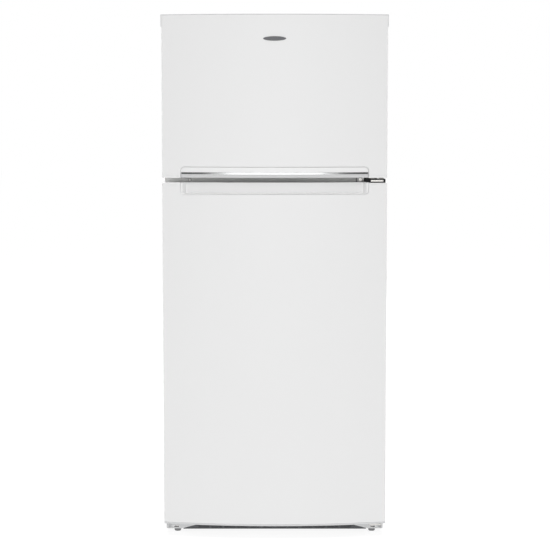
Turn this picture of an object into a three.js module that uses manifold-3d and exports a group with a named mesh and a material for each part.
// Top freezer refrigerator, 710 mm wide, as separate pieces with real joints.
// Millimetres. +Z is up, the doors face -Y, and both doors hinge on the +X side.
// The origin is on the floor, in the middle of the overall width and depth.
import * as THREE from 'three';
import { mergeVertices } from 'three/addons/utils/BufferGeometryUtils.js';
import Module from 'manifold-3d';

// ---------------------------------------------------------------- driving dimensions

const DOOR_WIDTH = 710;
const CABINET_WIDTH = 700;
const DEPTH = 730;
const TRIM_PROUD = 1; // the chrome strip stands this far in front of the doors
const BOW = 39; // how far the door faces bulge forward at the middle
const DOOR_EDGE = 56; // door thickness at its side edges
const SEAL_GAP = 12; // between the doors' backs and the cabinet front

const CABINET_TOP = 1644;
const CABINET_BOTTOM = 28;
const FREEZER_DOOR_TOP = 1666;
const FREEZER_DOOR_BOTTOM = 1156.6;
const FRIDGE_DOOR_TOP = 1142;
const FRIDGE_DOOR_BOTTOM = 46;

const INNER_HALF = 305; // half the inner width of both compartments
const LINER = 2; // liner wall
const SHEET = 1.2; // steel sheet
const SKIN = 1.5; // door skin
const GAP = 0.3; // kept between touching pieces
const MULLION_LOW = 1117;
const MULLION_HIGH = 1183;
const RAIL_SCREW_REACH = 271; // each hole in the rail is this far from the middle
const FREEZER_CEILING = 1594;
const FRIDGE_FLOOR = 113;
const INNER_BACK = 305;
const FOAM_BOTTOM = 60;
const MACHINE_FRONT = 178; // the machine compartment is behind this, at the bottom
const MACHINE_TOP = 252;
const MACHINE_HALF = 330;
const HUMP_FRONT = 133; // step in the fridge compartment over the machine compartment
const HUMP_TOP = 300;

const HINGE_X = 327;
const HINGE_Y = -300;
const PIN = 4;
const PIN_HOLE = 4.6;
const HANDLE_HALF = 296; // half the length of both pocket handles
const SCOOP_DEPTH = 22;
const SCOOP_HEIGHT = 37;
const INSERT_HEIGHT = 33.5;
const CHANNEL_FRONT = 27; // finger channel, behind the door's front face
const CHANNEL_BACK = 47;
const CHANNEL_DEPTH = 25;

const SHELF_FRONT = -147;
const SHELF_BACK = 285;
const LOWER_SHELF = 590;
const UPPER_SHELF = 830;
const COVER_TOP = 350; // top of the crisper cover
const WIRE_SHELF = 1385;

// planes that follow from the driving dimensions
const FRONT = -DEPTH / 2 + TRIM_PROUD;
const BACK = DEPTH / 2;
const DOOR_BACK = FRONT + BOW + DOOR_EDGE;
const CABINET_FRONT = DOOR_BACK + SEAL_GAP;
const CABINET_HALF = CABINET_WIDTH / 2;
const DOOR_HALF = DOOR_WIDTH / 2;
const BOW_RADIUS = (DOOR_HALF ** 2 + BOW ** 2) / (2 * BOW);
const BOW_CENTRE = FRONT + BOW_RADIUS;
const FLANGE_EDGE = CABINET_HALF - 18; // where the steel front flange meets the liner flanges

// ---------------------------------------------------------------- materials

function material(color, roughness, metalness = 0, extra = {}) {
  return new THREE.MeshStandardMaterial({ color, roughness, metalness, ...extra });
}

const white = () => material(0xe6e6e6, 0.35);
const linerWhite = () => material(0xf0f2f2, 0.4);
const coverGrey = () => material(0xc4c6c8, 0.5);
const darkGrey = () => material(0x4c4e50, 0.6);
const railGrey = () => material(0x77797c, 0.45);
const steel = () => material(0xb8bcc0, 0.3, 1);
const galvanised = () => material(0x9aa0a4, 0.45, 1);
const chrome = () => material(0xd8d8d8, 0.08, 1);
const foamYellow = () => material(0xe8dca8, 0.95);
const sealGrey = () => material(0xd8d9d8, 0.7);
const clear = () => material(0xdde8ea, 0.1, 0, { transparent: true, opacity: 0.4 });
const black = () => material(0x1c1d1f, 0.5);
const copper = () => material(0xb87348, 0.35, 1);
const aluminium = () => material(0xc9ccce, 0.4, 1);

// ---------------------------------------------------------------- solid helpers

const wasm = await Module();
wasm.setup();

function toSolid(geometry) {
  const bare = geometry.clone();
  bare.deleteAttribute('normal');
  bare.deleteAttribute('uv');
  const merged = mergeVertices(bare, 1e-4);
  const mesh = new wasm.Mesh({
    numProp: 3,
    vertProperties: new Float32Array(merged.attributes.position.array),
    triVerts: new Uint32Array(merged.index.array),
  });
  return new wasm.Manifold(mesh);
}

function toGeometry(solid) {
  const mesh = solid.getMesh();
  const geometry = new THREE.BufferGeometry();
  geometry.setAttribute('position', new THREE.BufferAttribute(new Float32Array(mesh.vertProperties), 3));
  geometry.setIndex(new THREE.BufferAttribute(new Uint32Array(mesh.triVerts), 1));
  geometry.computeVertexNormals();
  return geometry;
}

function join(...geometries) {
  const [first, ...others] = geometries.map(toSolid);
  return toGeometry(others.reduce((whole, other) => whole.add(other), first));
}

function cut(base, ...tools) {
  return toGeometry(tools.map(toSolid).reduce((rest, tool) => rest.subtract(tool), toSolid(base)));
}

function common(first, second) {
  return toGeometry(toSolid(first).intersect(toSolid(second)));
}

function box([x0, x1], [y0, y1], [z0, z1]) {
  const geometry = new THREE.BoxGeometry(x1 - x0, y1 - y0, z1 - z0);
  return geometry.translate((x0 + x1) / 2, (y0 + y1) / 2, (z0 + z1) / 2);
}

// Three ways to extrude an outline: its two coordinates are XY, YZ or XZ.
function prismZ(shape, z0, z1, segments = 12) {
  const geometry = new THREE.ExtrudeGeometry(shape, {
    depth: z1 - z0, bevelEnabled: false, curveSegments: segments,
  });
  return geometry.translate(0, 0, z0);
}

function prismX(shape, x0, x1, segments = 12, steps = 1) {
  const geometry = new THREE.ExtrudeGeometry(shape, {
    depth: x1 - x0, bevelEnabled: false, curveSegments: segments, steps,
  });
  const turn = new THREE.Matrix4().makeBasis(
    new THREE.Vector3(0, 1, 0), new THREE.Vector3(0, 0, 1), new THREE.Vector3(1, 0, 0),
  );
  return geometry.applyMatrix4(turn).translate(x0, 0, 0);
}

function prismY(shape, y0, y1, segments = 12) {
  const geometry = new THREE.ExtrudeGeometry(shape, {
    depth: y1 - y0, bevelEnabled: false, curveSegments: segments,
  });
  const turn = new THREE.Matrix4().makeBasis(
    new THREE.Vector3(1, 0, 0), new THREE.Vector3(0, 0, 1), new THREE.Vector3(0, -1, 0),
  );
  return geometry.applyMatrix4(turn).translate(0, y1, 0);
}

function polygon(points) {
  const shape = new THREE.Shape();
  shape.setFromPoints(points.map(([a, b]) => new THREE.Vector2(a, b)));
  return shape;
}

// A cylinder or cone from `from` to `to` along one axis, at a place on the other two.
function rod(axis, radius, from, to, place, sides = 20, endRadius = radius) {
  const geometry = new THREE.CylinderGeometry(endRadius, radius, to - from, sides);
  const middle = (from + to) / 2;
  if (axis === 'x') return geometry.rotateZ(-Math.PI / 2).translate(middle, place[0], place[1]);
  if (axis === 'z') return geometry.rotateX(Math.PI / 2).translate(place[0], place[1], middle);
  return geometry.translate(place[0], middle, place[1]);
}

function tube(points, radius, sides, steps) {
  const section = new THREE.Shape();
  section.setFromPoints(Array.from({ length: sides }, (_, i) => new THREE.Vector2(
    radius * Math.cos((2 * Math.PI * i) / sides), radius * Math.sin((2 * Math.PI * i) / sides),
  )));
  const path = new THREE.CatmullRomCurve3(points.map((p) => new THREE.Vector3(...p)), false, 'centripetal');
  return new THREE.ExtrudeGeometry(section, { steps, extrudePath: path, bevelEnabled: false });
}

// Straight passes along X joined by half-circle bends, stepping along `step` each time.
function serpentine(x0, x1, start, step, passes) {
  const points = [];
  for (let pass = 0; pass < passes; pass += 1) {
    const ends = pass % 2 === 0 ? [x0, x1] : [x1, x0];
    const y = start[0] + step[0] * pass;
    const z = start[1] + step[1] * pass;
    points.push([ends[0], y, z], [ends[0] * 0.5 + ends[1] * 0.5, y, z], [ends[1], y, z]);
    if (pass < passes - 1) {
      const reach = Math.sign(ends[1] - ends[0]) * Math.hypot(...step) * 0.5;
      points.push([ends[1] + reach, y + step[0] / 2, z + step[1] / 2]);
    }
  }
  return points;
}

// An open-topped tray: a box with its inside cut away down to the floor.
function tray(xs, ys, zs, wall, floor) {
  const inside = box([xs[0] + wall, xs[1] - wall], [ys[0] + wall, ys[1] - wall], [zs[0] + floor, zs[1] + 1]);
  return cut(box(xs, ys, zs), inside);
}

// A rectangular ring in the XZ plane.
function ring(xHalf, zs, ys, width) {
  const hole = box([-xHalf + width, xHalf - width], [ys[0] - 1, ys[1] + 1], [zs[0] + width, zs[1] - width]);
  return cut(box([-xHalf, xHalf], ys, zs), hole);
}

// ---------------------------------------------------------------- the bowed door section

function frontY(x) {
  return BOW_CENTRE - Math.sqrt(BOW_RADIUS ** 2 - x ** 2);
}

// The door's outline from above, shrunk by `inset` at the front and sides.
function doorOutline(inset, back) {
  const half = DOOR_HALF - inset;
  const radius = BOW_RADIUS - inset;
  const edge = 4; // small flat that breaks the front corners
  const rear = 6; // and the rear ones, which swing past the cabinet
  const reach = Math.asin((half - edge) / radius);
  const corner = BOW_CENTRE - radius * Math.cos(reach) + edge;
  const shape = new THREE.Shape();
  shape.moveTo(-half + rear, back);
  shape.lineTo(-half, back - rear);
  shape.lineTo(-half, corner);
  shape.absarc(0, BOW_CENTRE, radius, -Math.PI / 2 - reach, -Math.PI / 2 + reach, false);
  shape.lineTo(half, corner);
  shape.lineTo(half, back - rear);
  shape.lineTo(half - rear, back);
  shape.closePath();
  return shape;
}

function doorBlock(inset, back, z0, z1) {
  return prismZ(doorOutline(inset, back), z0, z1, 24);
}

// A bar that follows the bow. Its section is in (distance behind the door face, height).
function bowedBar(section, half) {
  const geometry = prismX(polygon(section), -half, half, 1, 20);
  const position = geometry.attributes.position;
  for (let i = 0; i < position.count; i += 1) {
    position.setY(i, position.getY(i) + frontY(position.getX(i)));
  }
  return geometry;
}

function bowedBox(behind, zs, half) {
  return bowedBar([[behind[0], zs[0]], [behind[1], zs[0]], [behind[1], zs[1]], [behind[0], zs[1]]], half);
}

// ---------------------------------------------------------------- scene graph

const refrigerator = new THREE.Group();

function group(parent) {
  const made = new THREE.Group();
  parent.add(made);
  return made;
}

function piece(name, geometry, surface, parent) {
  const mesh = new THREE.Mesh(geometry, surface);
  mesh.name = name;
  parent.add(mesh);
  return mesh;
}

const cabinet = group(refrigerator);
const freezerDoor = group(refrigerator);
const fridgeDoor = group(refrigerator);

// ---------------------------------------------------------------- cabinet shell

const wrapperBack = BACK - 1.5;

function cabinetWrapper() {
  const r = 8;
  const half = CABINET_HALF;
  const top = CABINET_TOP;
  const outline = polygon([
    [-half, CABINET_BOTTOM], [half, CABINET_BOTTOM], [half, top - r], [half - r * 0.3, top - r * 0.3],
    [half - r, top], [-half + r, top], [-half + r * 0.3, top - r * 0.3], [-half, top - r],
  ]);
  const outer = prismY(outline, CABINET_FRONT, wrapperBack);
  const inside = half - SHEET;
  const hollow = box([-inside, inside], [CABINET_FRONT + SHEET, BACK], [0, top - SHEET - 3]);
  const roof = box([-inside + 6, inside - 6], [CABINET_FRONT + SHEET, BACK], [top - 10, top - SHEET]);
  const window = box([-FLANGE_EDGE, FLANGE_EDGE], [CABINET_FRONT - 1, BACK], [0, top - 18]);
  const mullionNotch = box(
    [-half + 3 - GAP, half - 3 + GAP], [CABINET_FRONT - 1, CABINET_FRONT + 10], [MULLION_LOW, MULLION_HIGH],
  );
  return cut(outer, hollow, roof, window, mullionNotch);
}

// Machine compartment, cut out of the foam's lower rear corner.
function machineSpace() {
  return box([-MACHINE_HALF, MACHINE_HALF], [MACHINE_FRONT, BACK + 1], [0, MACHINE_TOP]);
}

function fridgeInside(grow) {
  const whole = box(
    [-INNER_HALF - grow, INNER_HALF + grow], [CABINET_FRONT - 1, INNER_BACK + grow],
    [FRIDGE_FLOOR - grow, MULLION_LOW + grow],
  );
  const hump = box([-400, 400], [HUMP_FRONT + grow, BACK], [0, HUMP_TOP - grow]);
  return cut(whole, hump);
}

function freezerInside(grow) {
  return box(
    [-INNER_HALF - grow, INNER_HALF + grow], [CABINET_FRONT - 1, INNER_BACK + grow],
    [MULLION_HIGH - grow, FREEZER_CEILING + grow],
  );
}

function cabinetFoam() {
  const half = CABINET_HALF - SHEET - GAP;
  const block = box([-half, half], [CABINET_FRONT + LINER + GAP, wrapperBack], [FOAM_BOTTOM + GAP, CABINET_TOP - 5]);
  return cut(block, machineSpace(), fridgeInside(LINER + GAP), freezerInside(LINER + GAP));
}

// Ribs on both side walls that carry a shelf whose underside is at `top`.
function shelfRibs(top, y0, y1) {
  const height = 10;
  const reach = 8;
  return [-1, 1].map((side) => {
    const edges = [side * (INNER_HALF + 1), side * (INNER_HALF - reach)].sort((a, b) => a - b);
    return box(edges, [y0, y1], [top - GAP - height, top - GAP]);
  });
}

function fridgeLiner() {
  const flange = box(
    [-FLANGE_EDGE + GAP, FLANGE_EDGE - GAP], [CABINET_FRONT, CABINET_FRONT + LINER], [68, MULLION_LOW - GAP],
  );
  const shell = cut(join(common(fridgeInside(LINER), box([-400, 400], [CABINET_FRONT, BACK], [0, 1700])), flange),
    fridgeInside(0));
  const railSeat = box([-400, 400], [CABINET_FRONT - 1, CABINET_FRONT + LINER + GAP], [MULLION_LOW - GAP, 1200]);
  const ribs = [COVER_TOP - 14, LOWER_SHELF, UPPER_SHELF].flatMap(
    (top) => shelfRibs(top, SHELF_FRONT + 13, SHELF_BACK),
  );
  return join(cut(shell, railSeat), ...ribs);
}

function freezerLiner() {
  const flange = box(
    [-FLANGE_EDGE + GAP, FLANGE_EDGE - GAP], [CABINET_FRONT, CABINET_FRONT + LINER],
    [MULLION_HIGH + GAP, CABINET_TOP - 18 - GAP],
  );
  const shell = cut(join(common(freezerInside(LINER), box([-400, 400], [CABINET_FRONT, BACK], [0, 1700])), flange),
    freezerInside(0));
  const railSeat = box([-400, 400], [CABINET_FRONT - 1, CABINET_FRONT + LINER + GAP], [1100, MULLION_HIGH + GAP]);
  return join(cut(shell, railSeat), ...shelfRibs(WIRE_SHELF, -142, 214));
}

piece('cabinet_wrapper', cabinetWrapper(), white(), cabinet);
piece('rear_panel', box(
  [-CABINET_HALF + 0.5, CABINET_HALF - 0.5], [wrapperBack + GAP, BACK], [MACHINE_TOP - 1, CABINET_TOP - 0.5],
), galvanised(), cabinet);
piece('cabinet_foam', cabinetFoam(), foamYellow(), cabinet);
piece('freezer_liner', freezerLiner(), linerWhite(), cabinet);
piece('fridge_liner', fridgeLiner(), linerWhite(), cabinet);

function mullionRail() {
  const half = CABINET_HALF - 3;
  const plate = box(
    [-half, half], [CABINET_FRONT, CABINET_FRONT + LINER], [MULLION_LOW + GAP, MULLION_HIGH - GAP],
  );
  const screwHoles = [-RAIL_SCREW_REACH, RAIL_SCREW_REACH].map((x) => rod('y', 2.2, CABINET_FRONT - 1, 0, [x, 1150], 10));
  return cut(plate, ...screwHoles);
}

piece('mullion_rail', mullionRail(), railGrey(), cabinet);

// ---------------------------------------------------------------- base

const FOOT_X = 317;
const FOOT_Y = -232;
const ROLLER_X = 322;
const ROLLER_Y = 325;
const ROLLER_RADIUS = 20;
const RAIL_IN = 300;
const RAIL_OUT = 347.5;
const AXLE = 4;

function baseFrame() {
  const parts = [];
  for (const side of [-1, 1]) {
    const edges = (a, b) => [side * a, side * b].sort((p, q) => p - q);
    const rail = box(edges(RAIL_IN, RAIL_OUT), [-250, 357], [30, FOAM_BOTTOM]);
    const hollow = box(edges(RAIL_IN + 3, RAIL_OUT - 3), [-247, 354], [20, FOAM_BOTTOM - 3]);
    const footPlate = box(edges(RAIL_IN + 1, RAIL_OUT - 1), [-249, -212], [30, 34]);
    const webs = [[RAIL_IN, RAIL_IN + 3], [RAIL_OUT - 3, RAIL_OUT]].map(
      ([a, b]) => box(edges(a, b), [ROLLER_Y - 18, ROLLER_Y + 18], [11, FOAM_BOTTOM - 1]),
    );
    parts.push(cut(rail, hollow), footPlate, ...webs);
  }
  const frontRail = cut(box([-301, 301], [-250, -215], [34, FOAM_BOTTOM]), box([-310, 310], [-247, -200], [20, 57]));
  const rearPan = box([-301, 301], [182, 357], [30, 33]);
  const axleHole = rod('x', AXLE + 0.35, -400, 400, [ROLLER_Y, ROLLER_RADIUS], 16);
  const footHoles = [-FOOT_X, FOOT_X].map((x) => rod('z', 6.6, 25, 45, [x, FOOT_Y], 16));
  return cut(join(...parts, frontRail, rearPan), axleHole, ...footHoles);
}

function baseGrille() {
  const plate = box([-256, 256], [-262, -258], [12, 44]);
  const lip = box([-256, 256], [-259, -251], [40, 44]);
  const slots = [];
  for (let column = 0; column < 12; column += 1) {
    for (let row = 0; row < 2; row += 1) {
      const x = -242 + column * 41;
      slots.push(box([x, x + 33], [-270, -257.9], [18 + row * 11, 24 + row * 11]));
    }
  }
  return cut(join(plate, lip), ...slots);
}

// Corner covers: a shallow shell whose inner end slopes up, with one slot.
function baseCover(side) {
  const outer = 351;
  const inner = 257;
  const outline = polygon([
    [side * outer, 15], [side * (inner + 12), 15], [side * inner, 27], [side * inner, 36], [side * outer, 36],
  ]);
  const shell = prismY(outline, -268, CABINET_FRONT - GAP);
  const inside = (r) => [side * (inner + r), side * (outer - r)].sort((a, b) => a - b);
  const hollow = box(inside(14), [-265.5, -250], [17.5, 40]);
  const slot = box([side * 320 - 9, side * 320 + 9], [-270, -264], [20, 24]);
  return cut(shell, hollow, slot);
}

function foot() {
  const pad = rod('z', 12, 0, 14, [0, 0], 20, 10);
  return join(pad, rod('z', 8, 14, 22, [0, 0], 6), rod('z', 6, 21, 52, [0, 0], 16));
}

function roller() {
  const wheel = rod('x', ROLLER_RADIUS, -9, 9, [0, 0], 32);
  return cut(wheel, rod('x', AXLE + 0.3, -20, 20, [0, 0], 16));
}

piece('base_frame', baseFrame(), galvanised(), cabinet);
piece('base_grille', baseGrille(), darkGrey(), cabinet);
piece('left_base_cover', baseCover(-1), coverGrey(), cabinet);
piece('right_base_cover', baseCover(1), coverGrey(), cabinet);
piece('rear_axle', rod('x', AXLE, -346, 346, [ROLLER_Y, ROLLER_RADIUS], 16), steel(), cabinet);
for (const [name, side] of [['left', -1], ['right', 1]]) {
  piece(`${name}_foot`, foot(), darkGrey(), cabinet).position.set(side * FOOT_X, FOOT_Y, 0);
  piece(`${name}_roller`, roller(), darkGrey(), cabinet).position.set(side * ROLLER_X, ROLLER_Y, ROLLER_RADIUS);
}

// ---------------------------------------------------------------- machine compartment

const COMPRESSOR = [-180, 268];
const SHROUD_X = -40;
const CONDENSER_FAN = [268, 118];

function compressor() {
  const radius = 82;
  const profile = [
    [0, 48], [radius * 0.8, 48], [radius, 66], [radius, 158], [radius * 0.86, 184], [radius * 0.5, 200], [0, 204],
  ].map(([r, z]) => new THREE.Vector2(r, z));
  const can = new THREE.LatheGeometry(profile, 24).rotateX(Math.PI / 2);
  const plate = box([-95, 95], [-62, 62], [44, 50]);
  const grommets = [[-82, -50], [82, -50], [-82, 50], [82, 50]].map((p) => rod('z', 9, 33 + GAP, 47, p, 12));
  const terminals = box([70, 94], [-28, 28], [100, 150]);
  return join(can, plate, ...grommets, terminals).translate(COMPRESSOR[0], COMPRESSOR[1], 0);
}

function fanShroud() {
  const plate = box([SHROUD_X, SHROUD_X + 3], [188, 348], [36, 200]);
  const footing = box([SHROUD_X, SHROUD_X + 25], [188, 348], [33 + GAP, 37]);
  const opening = rod('x', 66, SHROUD_X - 5, SHROUD_X + 8, CONDENSER_FAN, 32);
  const arm = box([SHROUD_X - 24, SHROUD_X - 20], [CONDENSER_FAN[0] - 6, CONDENSER_FAN[0] + 6], [36, 196]);
  const ties = [38, 192].map((z) => box([SHROUD_X - 24, SHROUD_X + 1], [CONDENSER_FAN[0] - 6, CONDENSER_FAN[0] + 6],
    [z, z + 4]));
  const motor = rod('x', 20, SHROUD_X - 40, SHROUD_X - 14, CONDENSER_FAN, 20);
  return join(cut(join(plate, footing), opening), arm, ...ties, motor);
}

// A fan wheel on its own X or Y axis: a hub with pitched blades.
function fanWheel(radius, hub, depth, blades) {
  const parts = [rod('z', hub, -depth / 2, depth / 2, [0, 0], 18)];
  for (let i = 0; i < blades; i += 1) {
    const blade = new THREE.BoxGeometry(radius - hub * 0.7, radius * 0.62, 2);
    blade.translate((radius + hub * 0.7) / 2, 0, 0);
    blade.applyMatrix4(new THREE.Matrix4().makeRotationX(0.45));
    blade.rotateZ((2 * Math.PI * i) / blades);
    parts.push(blade);
  }
  return join(...parts);
}

function condenserCoil() {
  const passes = serpentine(60, 280, [210, 60], [0, 26], 5);
  const second = serpentine(60, 280, [320, 60], [0, 26], 5).reverse();
  const bridge = [[300, 265, 175]];
  const pipe = tube([...passes, ...bridge, ...second], 4, 5, 76);
  const wires = [90, 170, 250].flatMap((x) => [210, 320].map((y) => rod('z', 1.6, 46, 178, [x, y - 4.5], 6)));
  const rungs = [90, 250].map((x) => rod('y', 1.6, 203, 330, [x, 50], 6));
  return join(pipe, ...wires, ...rungs);
}

function machineCover() {
  const plate = box([-329, 329], [359.5, 361], [62, MACHINE_TOP - 1.5]);
  const slots = [];
  for (let column = 0; column < 5; column += 1) {
    for (let row = 0; row < 4; row += 1) {
      const x = -300 + column * 108;
      slots.push(box([x, x + 92], [350, 370], [86 + row * 26, 94 + row * 26]));
    }
  }
  const inletHole = rod('y', 14.3, 350, 370, [290, 210], 20);
  return cut(plate, ...slots, inletHole);
}

function powerInlet() {
  const barrel = rod('y', 14, 340, 363, [290, 210], 20);
  const flange = rod('y', 20, 361 + GAP, BACK, [290, 210], 24);
  return cut(join(barrel, flange), rod('y', 5, 346, 370, [290, 210], 12));
}

piece('compressor', compressor(), black(), cabinet);
piece('fan_shroud', fanShroud(), darkGrey(), cabinet);
piece('condenser_fan', fanWheel(60, 17, 16, 5).rotateY(Math.PI / 2), black(), cabinet)
  .position.set(SHROUD_X - 2, ...CONDENSER_FAN);
piece('condenser_coil', condenserCoil(), black(), cabinet);
piece('drain_pan', tray([70, 270], [200, 340], [196, 232], 2, 2), coverGrey(), cabinet);
piece('machine_cover', machineCover(), galvanised(), cabinet);
piece('power_inlet', powerInlet(), black(), cabinet);

// ---------------------------------------------------------------- cooling in the freezer

const EVAPORATOR_FAN = [0, 1490];
const COVER_FRONT = 226;

function evaporatorCover() {
  const plate = box([-303, 303], [COVER_FRONT, COVER_FRONT + 3], [MULLION_HIGH + GAP, FREEZER_CEILING - GAP]);
  const returns = [-1, 1].map((side) => {
    const edges = [side * 300, side * 303].sort((a, b) => a - b);
    return box(edges, [COVER_FRONT + 1, INNER_BACK - GAP], [MULLION_HIGH + GAP, FREEZER_CEILING - GAP]);
  });
  const openings = [];
  for (let i = 0; i < 10; i += 1) {
    const x = -230 + i * 48;
    openings.push(box([x, x + 28], [200, 240], [1196, 1206]));
  }
  for (let i = 0; i < 7; i += 1) {
    const z = EVAPORATOR_FAN[1] - 42 + i * 14;
    const half = Math.sqrt(52 ** 2 - (z - EVAPORATOR_FAN[1]) ** 2);
    openings.push(box([-half, half], [200, 240], [z - 4, z + 4]));
  }
  return cut(join(plate, ...returns), ...openings);
}

function evaporatorCoil() {
  const rows = [256, 282].map((y) => tube(serpentine(-225, 225, [y, 1225], [0, 44], 5), 4, 6, 40));
  const headers = rod('y', 4, 254, 284, [225, 1225 + 44 * 4], 6);
  const linked = [rows[0], rows[1], headers, rod('y', 4, 254, 284, [-225, 1225], 6)];
  const fins = [];
  for (const x of [-205, 0, 205]) {
    fins.push(box([x - 0.6, x + 0.6], [243, 295], [1212, 1412]));
  }
  return join(...linked, ...fins);
}

piece('evaporator_cover', evaporatorCover(), linerWhite(), cabinet);
piece('evaporator_coil', evaporatorCoil(), aluminium(), cabinet);
piece('evaporator_fan', fanWheel(48, 14, 14, 4).rotateX(Math.PI / 2), darkGrey(), cabinet)
  .position.set(EVAPORATOR_FAN[0], 246, EVAPORATOR_FAN[1]);

// ---------------------------------------------------------------- controls

const HOUSING_FRONT = -60;

function controlHousing() {
  const shell = box([-150, 150], [HOUSING_FRONT, 110], [1070, MULLION_LOW - GAP]);
  const hollow = box([-147, 147], [HOUSING_FRONT + 3, 107], [1073, 1130]);
  const shaftHole = rod('y', 3.4, HOUSING_FRONT - 5, HOUSING_FRONT + 5, [0, 1093], 12);
  const lensOpening = box([-60, 60], [-30, 60], [1060, 1075]);
  return cut(shell, hollow, shaftHole, lensOpening);
}

// A dial on a short shaft, turned about Y, with a raised grip across it.
function knob(radius) {
  const dial = rod('y', radius, -14, -GAP, [0, 0], 28, radius * 1.06);
  const grip = box([-3.5, 3.5], [-20, -10], [-radius * 0.9, radius * 0.9]);
  return join(dial, grip, rod('y', 3, -1, 12, [0, 0], 12));
}

piece('control_housing', controlHousing(), linerWhite(), cabinet);
piece('fridge_knob', knob(18), white(), cabinet).position.set(0, HOUSING_FRONT, 1093);

function cutForFreezerKnob(geometry) {
  return cut(geometry, rod('y', 3.4, 200, 240, [-180, 1290], 12));
}

cabinet.getObjectByName('evaporator_cover').geometry = cutForFreezerKnob(
  cabinet.getObjectByName('evaporator_cover').geometry,
);
piece('freezer_knob', knob(17), white(), cabinet).position.set(-180, COVER_FRONT, 1290);

// ---------------------------------------------------------------- shelves and crispers

function wireShelf() {
  const half = 302;
  const [front, back] = [-150, 218];
  const wires = [];
  const count = 15;
  for (let i = 0; i < count; i += 1) {
    const x = -half + 4 + (i * 2 * (half - 4)) / (count - 1);
    wires.push(box([x - 1.6, x + 1.6], [front, back], [WIRE_SHELF + 3, WIRE_SHELF + 6]));
  }
  for (const y of [front + 4, (front + back) / 2, back - 4]) {
    wires.push(box([-half, half], [y - 2.5, y + 2.5], [WIRE_SHELF, WIRE_SHELF + 4]));
  }
  return join(...wires);
}

function glassShelf(bottom) {
  const half = INNER_HALF - 2;
  const slab = box([-half, half], [SHELF_FRONT, SHELF_BACK], [bottom, bottom + 12]);
  return cut(slab, box([-half + 16, half - 16], [SHELF_FRONT + 18, SHELF_BACK - 14], [bottom - 1, bottom + 8]));
}

function crisperCoverFrame() {
  const half = INNER_HALF - 2;
  const slab = box([-half, half], [SHELF_FRONT, SHELF_BACK], [COVER_TOP - 14, COVER_TOP]);
  const frontRail = box([-half, half], [SHELF_FRONT, SHELF_FRONT + 12], [COVER_TOP - 24, COVER_TOP - 1]);
  const windows = [-1, 1].map((side) => {
    const edges = [side * 10, side * (half - 18)].sort((a, b) => a - b);
    return box(edges, [SHELF_FRONT + 26, SHELF_BACK - 20], [300, 400]);
  });
  const pocket = box([-296.3, 296.3], [-132.3, 277.3], [COVER_TOP - 4 - GAP, 400]);
  const grooves = [-150, 150].map(
    (x) => box([x - 30, x + 30], [SHELF_FRONT - 1, SHELF_FRONT + 4], [COVER_TOP - 18, COVER_TOP - 9]),
  );
  return cut(join(slab, frontRail), ...windows, pocket, ...grooves);
}

function humiditySlider() {
  const plate = box([-13, 13], [-1.5, 3.5], [-4, 4]);
  return join(plate, box([-3, 3], [-4, 0], [-3, 3]));
}

const CRISPER_FRONT = -135;

function crisper(side) {
  const edges = [side * 8, side * 296].sort((a, b) => a - b);
  const bin = tray(edges, [CRISPER_FRONT, 122], [116, 322], 3, 3);
  const face = box([edges[0], edges[1]], [CRISPER_FRONT, CRISPER_FRONT + 8], [116, 322]);
  const middle = (edges[0] + edges[1]) / 2;
  const grip = box([middle - 60, middle + 60], [CRISPER_FRONT - 1, CRISPER_FRONT + 5], [288, 312]);
  return cut(join(bin, face), grip);
}

piece('freezer_shelf', wireShelf(), white(), cabinet);
piece('upper_shelf', glassShelf(UPPER_SHELF), clear(), cabinet);
piece('lower_shelf', glassShelf(LOWER_SHELF), clear(), cabinet);
piece('crisper_cover_frame', crisperCoverFrame(), linerWhite(), cabinet);
piece('crisper_cover_glass', box([-296, 296], [-132, 277], [COVER_TOP - 4, COVER_TOP]), clear(), cabinet);
for (const [name, side] of [['left', -1], ['right', 1]]) {
  piece(`${name}_crisper`, crisper(side), clear(), cabinet);
  piece(`${name}_humidity_slider`, humiditySlider(), darkGrey(), cabinet)
    .position.set(side * 150, SHELF_FRONT, COVER_TOP - 13.5);
}

// ---------------------------------------------------------------- hinges

const TOP_HINGE = [CABINET_TOP + GAP, CABINET_TOP + 4 + GAP];
const RECESS_FLOOR = 1640;

function topHinge() {
  const plate = box([302, 345], [-248, -178], TOP_HINGE);
  const arm = box([HINGE_X - 8, HINGE_X + 8], [HINGE_Y, -240], TOP_HINGE);
  const eye = rod('z', 8, ...TOP_HINGE, [HINGE_X, HINGE_Y], 20);
  const pin = rod('z', PIN, 1629, TOP_HINGE[1], [HINGE_X, HINGE_Y], 16);
  const bolts = [[315, -230], [333, -195], [312, -195]].map((p) => rod('z', 5, TOP_HINGE[0] + 1, TOP_HINGE[1] + 4, p, 6));
  return join(plate, arm, eye, pin, ...bolts);
}

function topHingeCover() {
  const shell = box([294, 349], [-252, -168], [CABINET_TOP + GAP, 1668]);
  const hollow = box([297, 346], [-249, -171], [CABINET_TOP - 5, 1665.5]);
  const mouth = box([HINGE_X - 10, HINGE_X + 10], [-260, -240], [CABINET_TOP - 5, CABINET_TOP + 7]);
  return cut(shell, hollow, mouth);
}

function centreHinge() {
  const [low, high] = [1148, 1152];
  const back = box([281, 345], [-260.5, CABINET_FRONT - GAP], [1139.5, 1160.5]);
  const arm = box([305, 345], [-306, -258], [low, high]);
  const pin = rod('z', PIN, 1122, 1178, [HINGE_X, HINGE_Y], 16);
  const bush = rod('z', 7, 1144, 1156, [HINGE_X, HINGE_Y], 16);
  return join(back, arm, pin, bush);
}

function bottomHinge() {
  const plate = box([303, 345], [-311, -258], [36.5, 41]);
  const back = box([303, 345], [-261, CABINET_FRONT - GAP], [36.5, 58]);
  const pin = rod('z', PIN, 37, 66, [HINGE_X, HINGE_Y], 16);
  const washer = rod('z', 8, 40, 45, [HINGE_X, HINGE_Y], 16);
  return join(plate, back, pin, washer);
}

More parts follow.
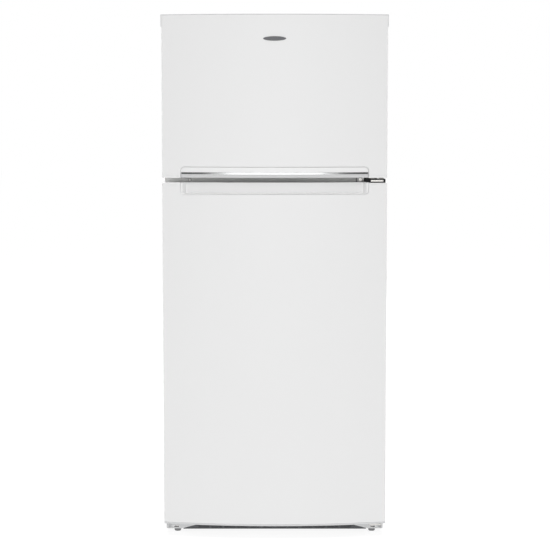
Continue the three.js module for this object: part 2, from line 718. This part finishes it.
piece('top_hinge', topHinge(), steel(), cabinet);
piece('top_hinge_cover', topHingeCover(), white(), cabinet);
piece('centre_hinge', centreHinge(), steel(), cabinet);
piece('bottom_hinge', bottomHinge(), steel(), cabinet);

// ---------------------------------------------------------------- doors

const LINER_PLATE = [DOOR_BACK - 2.2, DOOR_BACK];
const CORE_BACK = LINER_PLATE[0] - GAP;
const CORE_INSET = SKIN + GAP;
const DIKE_WIDTH = 26;

function pinHole(z0, z1) {
  return rod('z', PIN_HOLE, z0, z1, [HINGE_X, HINGE_Y], 20);
}

function doorSkin(z0, z1, ...openings) {
  const shell = cut(doorBlock(0, DOOR_BACK, z0, z1), doorBlock(SKIN, DOOR_BACK + 20, z0 - 1, z1 + 1));
  return openings.length ? cut(shell, ...openings) : shell;
}

// The raised wall around the back of a door liner, shrunk by `inset` for its foam filling.
function dike(zs, depth, inset) {
  const half = 290 - inset;
  const ys = [LINER_PLATE[0] - (inset ? 2 : 0), DOOR_BACK + depth - inset];
  return ring(half, [zs[0] + inset, zs[1] - inset], ys, DIKE_WIDTH - 2 * inset);
}

function doorLiner(plateZ, dikeZ, depth) {
  const plate = box([-DOOR_HALF + 8, DOOR_HALF - 8], LINER_PLATE, plateZ);
  return cut(join(plate, dike(dikeZ, depth, 0)), dike(dikeZ, depth, 2.2));
}

function doorFoam(z0, z1, dikeZ, depth) {
  return join(doorBlock(CORE_INSET, CORE_BACK, z0, z1), dike(dikeZ, depth, 2.5));
}

function doorGasket(zs) {
  return ring(325, zs, [DOOR_BACK + GAP, CABINET_FRONT - 0.5], 14);
}

// Freezer door
const TOP_RIM = 2.1;
const END_RIM = 6;
const freezerRecess = () => box([316, 400], [-320.5, -200], [RECESS_FLOOR, 1700]);
const freezerDikeZ = [1196, 1582];
const FREEZER_DIKE = 38;
const fridgeDikeZ = [128, 1102];
const FRIDGE_DIKE = 43;

function freezerTopCap() {
  const top = FREEZER_DOOR_TOP;
  const rim = doorBlock(0, DOOR_BACK, top - TOP_RIM, top);
  const block = doorBlock(CORE_INSET, CORE_BACK, top - 14, top - 1);
  const boss = box([303, 352], [-320, CORE_BACK], [1626, top - 1]);
  const ears = [-1, 1].map((side) => prismY(polygon([
    [side * (DOOR_HALF + GAP), top - 38], [side * (DOOR_HALF + 2), top - 32], [side * (DOOR_HALF + 2), top],
    [side * (DOOR_HALF - 3), top], [side * (DOOR_HALF - 3), top - TOP_RIM + 0.1],
    [side * (DOOR_HALF + GAP), top - TOP_RIM + 0.1],
  ]), -323, DOOR_BACK - 7));
  return cut(join(rim, block, boss, ...ears), freezerRecess(), pinHole(1600, 1645));
}

function freezerBottomCap() {
  const bottom = FREEZER_DOOR_BOTTOM;
  const rim = doorBlock(0, DOOR_BACK, bottom, bottom + END_RIM);
  const block = doorBlock(CORE_INSET, CORE_BACK, bottom + 1, bottom + 38);
  const insert = bowedBox([0.05, 20], [bottom, bottom + INSERT_HEIGHT], HANDLE_HALF - GAP);
  const chin = bowedBar([[-5, bottom - 1], [9, bottom - 1], [0, bottom + 11], [-5, bottom + 11]], HANDLE_HALF - 4);
  const stripSeat = bowedBox([-5, 1.9], [bottom + 11 - GAP, bottom + 17.8 + GAP], HANDLE_HALF - 3);
  const channel = bowedBox([CHANNEL_FRONT, CHANNEL_BACK], [bottom - 1, bottom + CHANNEL_DEPTH], 280);
  return cut(join(rim, block, insert), chin, stripSeat, channel, pinHole(1150, 1181));
}

function freezerDoorFoam() {
  const foam = doorFoam(FREEZER_DOOR_BOTTOM + 38 + GAP, FREEZER_DOOR_TOP - 14 - GAP, freezerDikeZ, FREEZER_DIKE);
  return cut(foam, box([303 - GAP, 400], [-330, -200], [1626 - GAP, 1700]));
}

// An open bin on the back of a door, between the dikes, with a lower wall at the door side.
function doorBin(z0, height, depth, xs = [-261.5, 261.5]) {
  const ys = [DOOR_BACK + GAP, DOOR_BACK + depth];
  const bin = tray(xs, ys, [z0, z0 + height], 3, 3);
  return cut(bin, box([xs[0] + 20, xs[1] - 20], [ys[0] - 1, ys[0] + 10], [z0 + height * 0.6, z0 + height + 1]));
}

const freezerSkinZ = [FREEZER_DOOR_BOTTOM + END_RIM + GAP, FREEZER_DOOR_TOP - TOP_RIM - GAP];
const insertOpening = box(
  [-HANDLE_HALF, HANDLE_HALF], [-400, -300], [1100, FREEZER_DOOR_BOTTOM + INSERT_HEIGHT + GAP],
);
piece('freezer_door_panel', doorSkin(...freezerSkinZ, insertOpening, freezerRecess()), white(), freezerDoor);
piece('freezer_door_foam', freezerDoorFoam(), foamYellow(), freezerDoor);
piece('freezer_door_liner', doorLiner([FREEZER_DOOR_BOTTOM + 8, RECESS_FLOOR - 2], freezerDikeZ, FREEZER_DIKE),
  linerWhite(), freezerDoor);
piece('freezer_door_top_cap', freezerTopCap(), coverGrey(), freezerDoor);
piece('freezer_door_bottom_cap', freezerBottomCap(), white(), freezerDoor);
piece('freezer_handle_trim', bowedBox(
  [-TRIM_PROUD, 1.6], [FREEZER_DOOR_BOTTOM + 11.2, FREEZER_DOOR_BOTTOM + 17.8], HANDLE_HALF - 3.5,
), chrome(), freezerDoor);
piece('freezer_gasket', doorGasket([1163, 1630]), sealGrey(), freezerDoor);
piece('freezer_upper_bin', doorBin(1420, 90, 74), clear(), freezerDoor);
piece('freezer_lower_bin', doorBin(1226, 100, 74), clear(), freezerDoor);

// Fridge door
function fridgeTopCap() {
  const top = FRIDGE_DOOR_TOP;
  const rim = doorBlock(0, DOOR_BACK, top - END_RIM, top);
  const block = doorBlock(CORE_INSET, CORE_BACK, top - 42, top - 1);
  const insert = bowedBox([0.05, 24], [top - SCOOP_HEIGHT, top], HANDLE_HALF - GAP);
  const scoop = bowedBar([
    [-5, top + 1], [-5, top - SCOOP_HEIGHT + 1], [0.5, top - SCOOP_HEIGHT + 1], [SCOOP_DEPTH - 6, top - 8],
    [SCOOP_DEPTH, top + 1],
  ], HANDLE_HALF - 5);
  const channel = bowedBox([CHANNEL_FRONT, CHANNEL_BACK], [top - CHANNEL_DEPTH, top + 1], 280);
  const slopes = [-1, 1].map((side) => prismY(polygon([
    [side * (DOOR_HALF + 1), top - 6.5], [side * (DOOR_HALF - 11), top + 0.1], [side * (DOOR_HALF + 1), top + 3],
  ]), -400, -200));
  return cut(join(rim, block, insert), scoop, channel, ...slopes, pinHole(1119, 1150));
}

function fridgeBottomCap() {
  const bottom = FRIDGE_DOOR_BOTTOM;
  const rim = doorBlock(0, DOOR_BACK, bottom, bottom + END_RIM);
  const block = doorBlock(CORE_INSET, CORE_BACK, bottom + 1, bottom + 24);
  return cut(join(rim, block), pinHole(40, 68.5));
}

const fridgeSkinZ = [FRIDGE_DOOR_BOTTOM + END_RIM + GAP, FRIDGE_DOOR_TOP - END_RIM - GAP];
const scoopOpening = box([-HANDLE_HALF, HANDLE_HALF], [-400, -300], [FRIDGE_DOOR_TOP - SCOOP_HEIGHT - GAP, 1200]);
piece('fridge_door_panel', doorSkin(...fridgeSkinZ, scoopOpening), white(), fridgeDoor);
piece('fridge_door_foam', doorFoam(FRIDGE_DOOR_BOTTOM + 24 + GAP, FRIDGE_DOOR_TOP - 42 - GAP, fridgeDikeZ, FRIDGE_DIKE),
  foamYellow(), fridgeDoor);
piece('fridge_door_liner', doorLiner([FRIDGE_DOOR_BOTTOM + 8, FRIDGE_DOOR_TOP - 8], fridgeDikeZ, FRIDGE_DIKE),
  linerWhite(), fridgeDoor);
piece('fridge_door_top_cap', fridgeTopCap(), white(), fridgeDoor);
piece('fridge_door_bottom_cap', fridgeBottomCap(), coverGrey(), fridgeDoor);
piece('fridge_gasket', doorGasket([72, 1137]), sealGrey(), fridgeDoor);
piece('lower_bin', doorBin(356, 150, 104), clear(), fridgeDoor);
piece('middle_bin', doorBin(640, 110, 104), clear(), fridgeDoor);

// The dairy compartment has end cheeks that carry a lid, which swings up about X.
const DAIRY_X = [-261.5, -10];
const LID_PIVOT = [DOOR_BACK + 92, 1012];
const LID_HEIGHT = 84;

function dairyBin() {
  const bin = tray(DAIRY_X, [DOOR_BACK + GAP, DOOR_BACK + 88], [900, 922], 3, 3);
  const cheeks = [DAIRY_X[0], DAIRY_X[1] - 3].map(
    (x) => box([x, x + 3], [DOOR_BACK + GAP, DOOR_BACK + 98], [900, 1020]),
  );
  const roof = box(DAIRY_X, [DOOR_BACK + GAP, DOOR_BACK + 80], [1017, 1020]);
  const pivots = [
    rod('x', 2.5, DAIRY_X[0] + 2, DAIRY_X[0] + 7, LID_PIVOT, 12),
    rod('x', 2.5, DAIRY_X[1] - 7, DAIRY_X[1] - 2, LID_PIVOT, 12),
  ];
  return join(bin, ...cheeks, roof, ...pivots);
}

function dairyLid() {
  const xs = [DAIRY_X[0] + 4, DAIRY_X[1] - 4];
  const barrel = rod('x', 5, xs[0], xs[1], LID_PIVOT, 16);
  const leaf = box(xs, [LID_PIVOT[0] - 1.5, LID_PIVOT[0] + 1.5], [LID_PIVOT[1] - LID_HEIGHT, LID_PIVOT[1] - 3]);
  const pull = box([-160, -110], [LID_PIVOT[0], LID_PIVOT[0] + 8], [LID_PIVOT[1] - LID_HEIGHT, LID_PIVOT[1] - LID_HEIGHT + 4]);
  const bores = [
    rod('x', 2.9, xs[0] - 1, xs[0] + 5, LID_PIVOT, 12),
    rod('x', 2.9, xs[1] - 5, xs[1] + 1, LID_PIVOT, 12),
  ];
  return cut(join(barrel, leaf, pull), ...bores);
}

piece('dairy_bin', dairyBin(), clear(), fridgeDoor);
piece('dairy_lid', dairyLid(), clear(), fridgeDoor);

export default refrigerator;
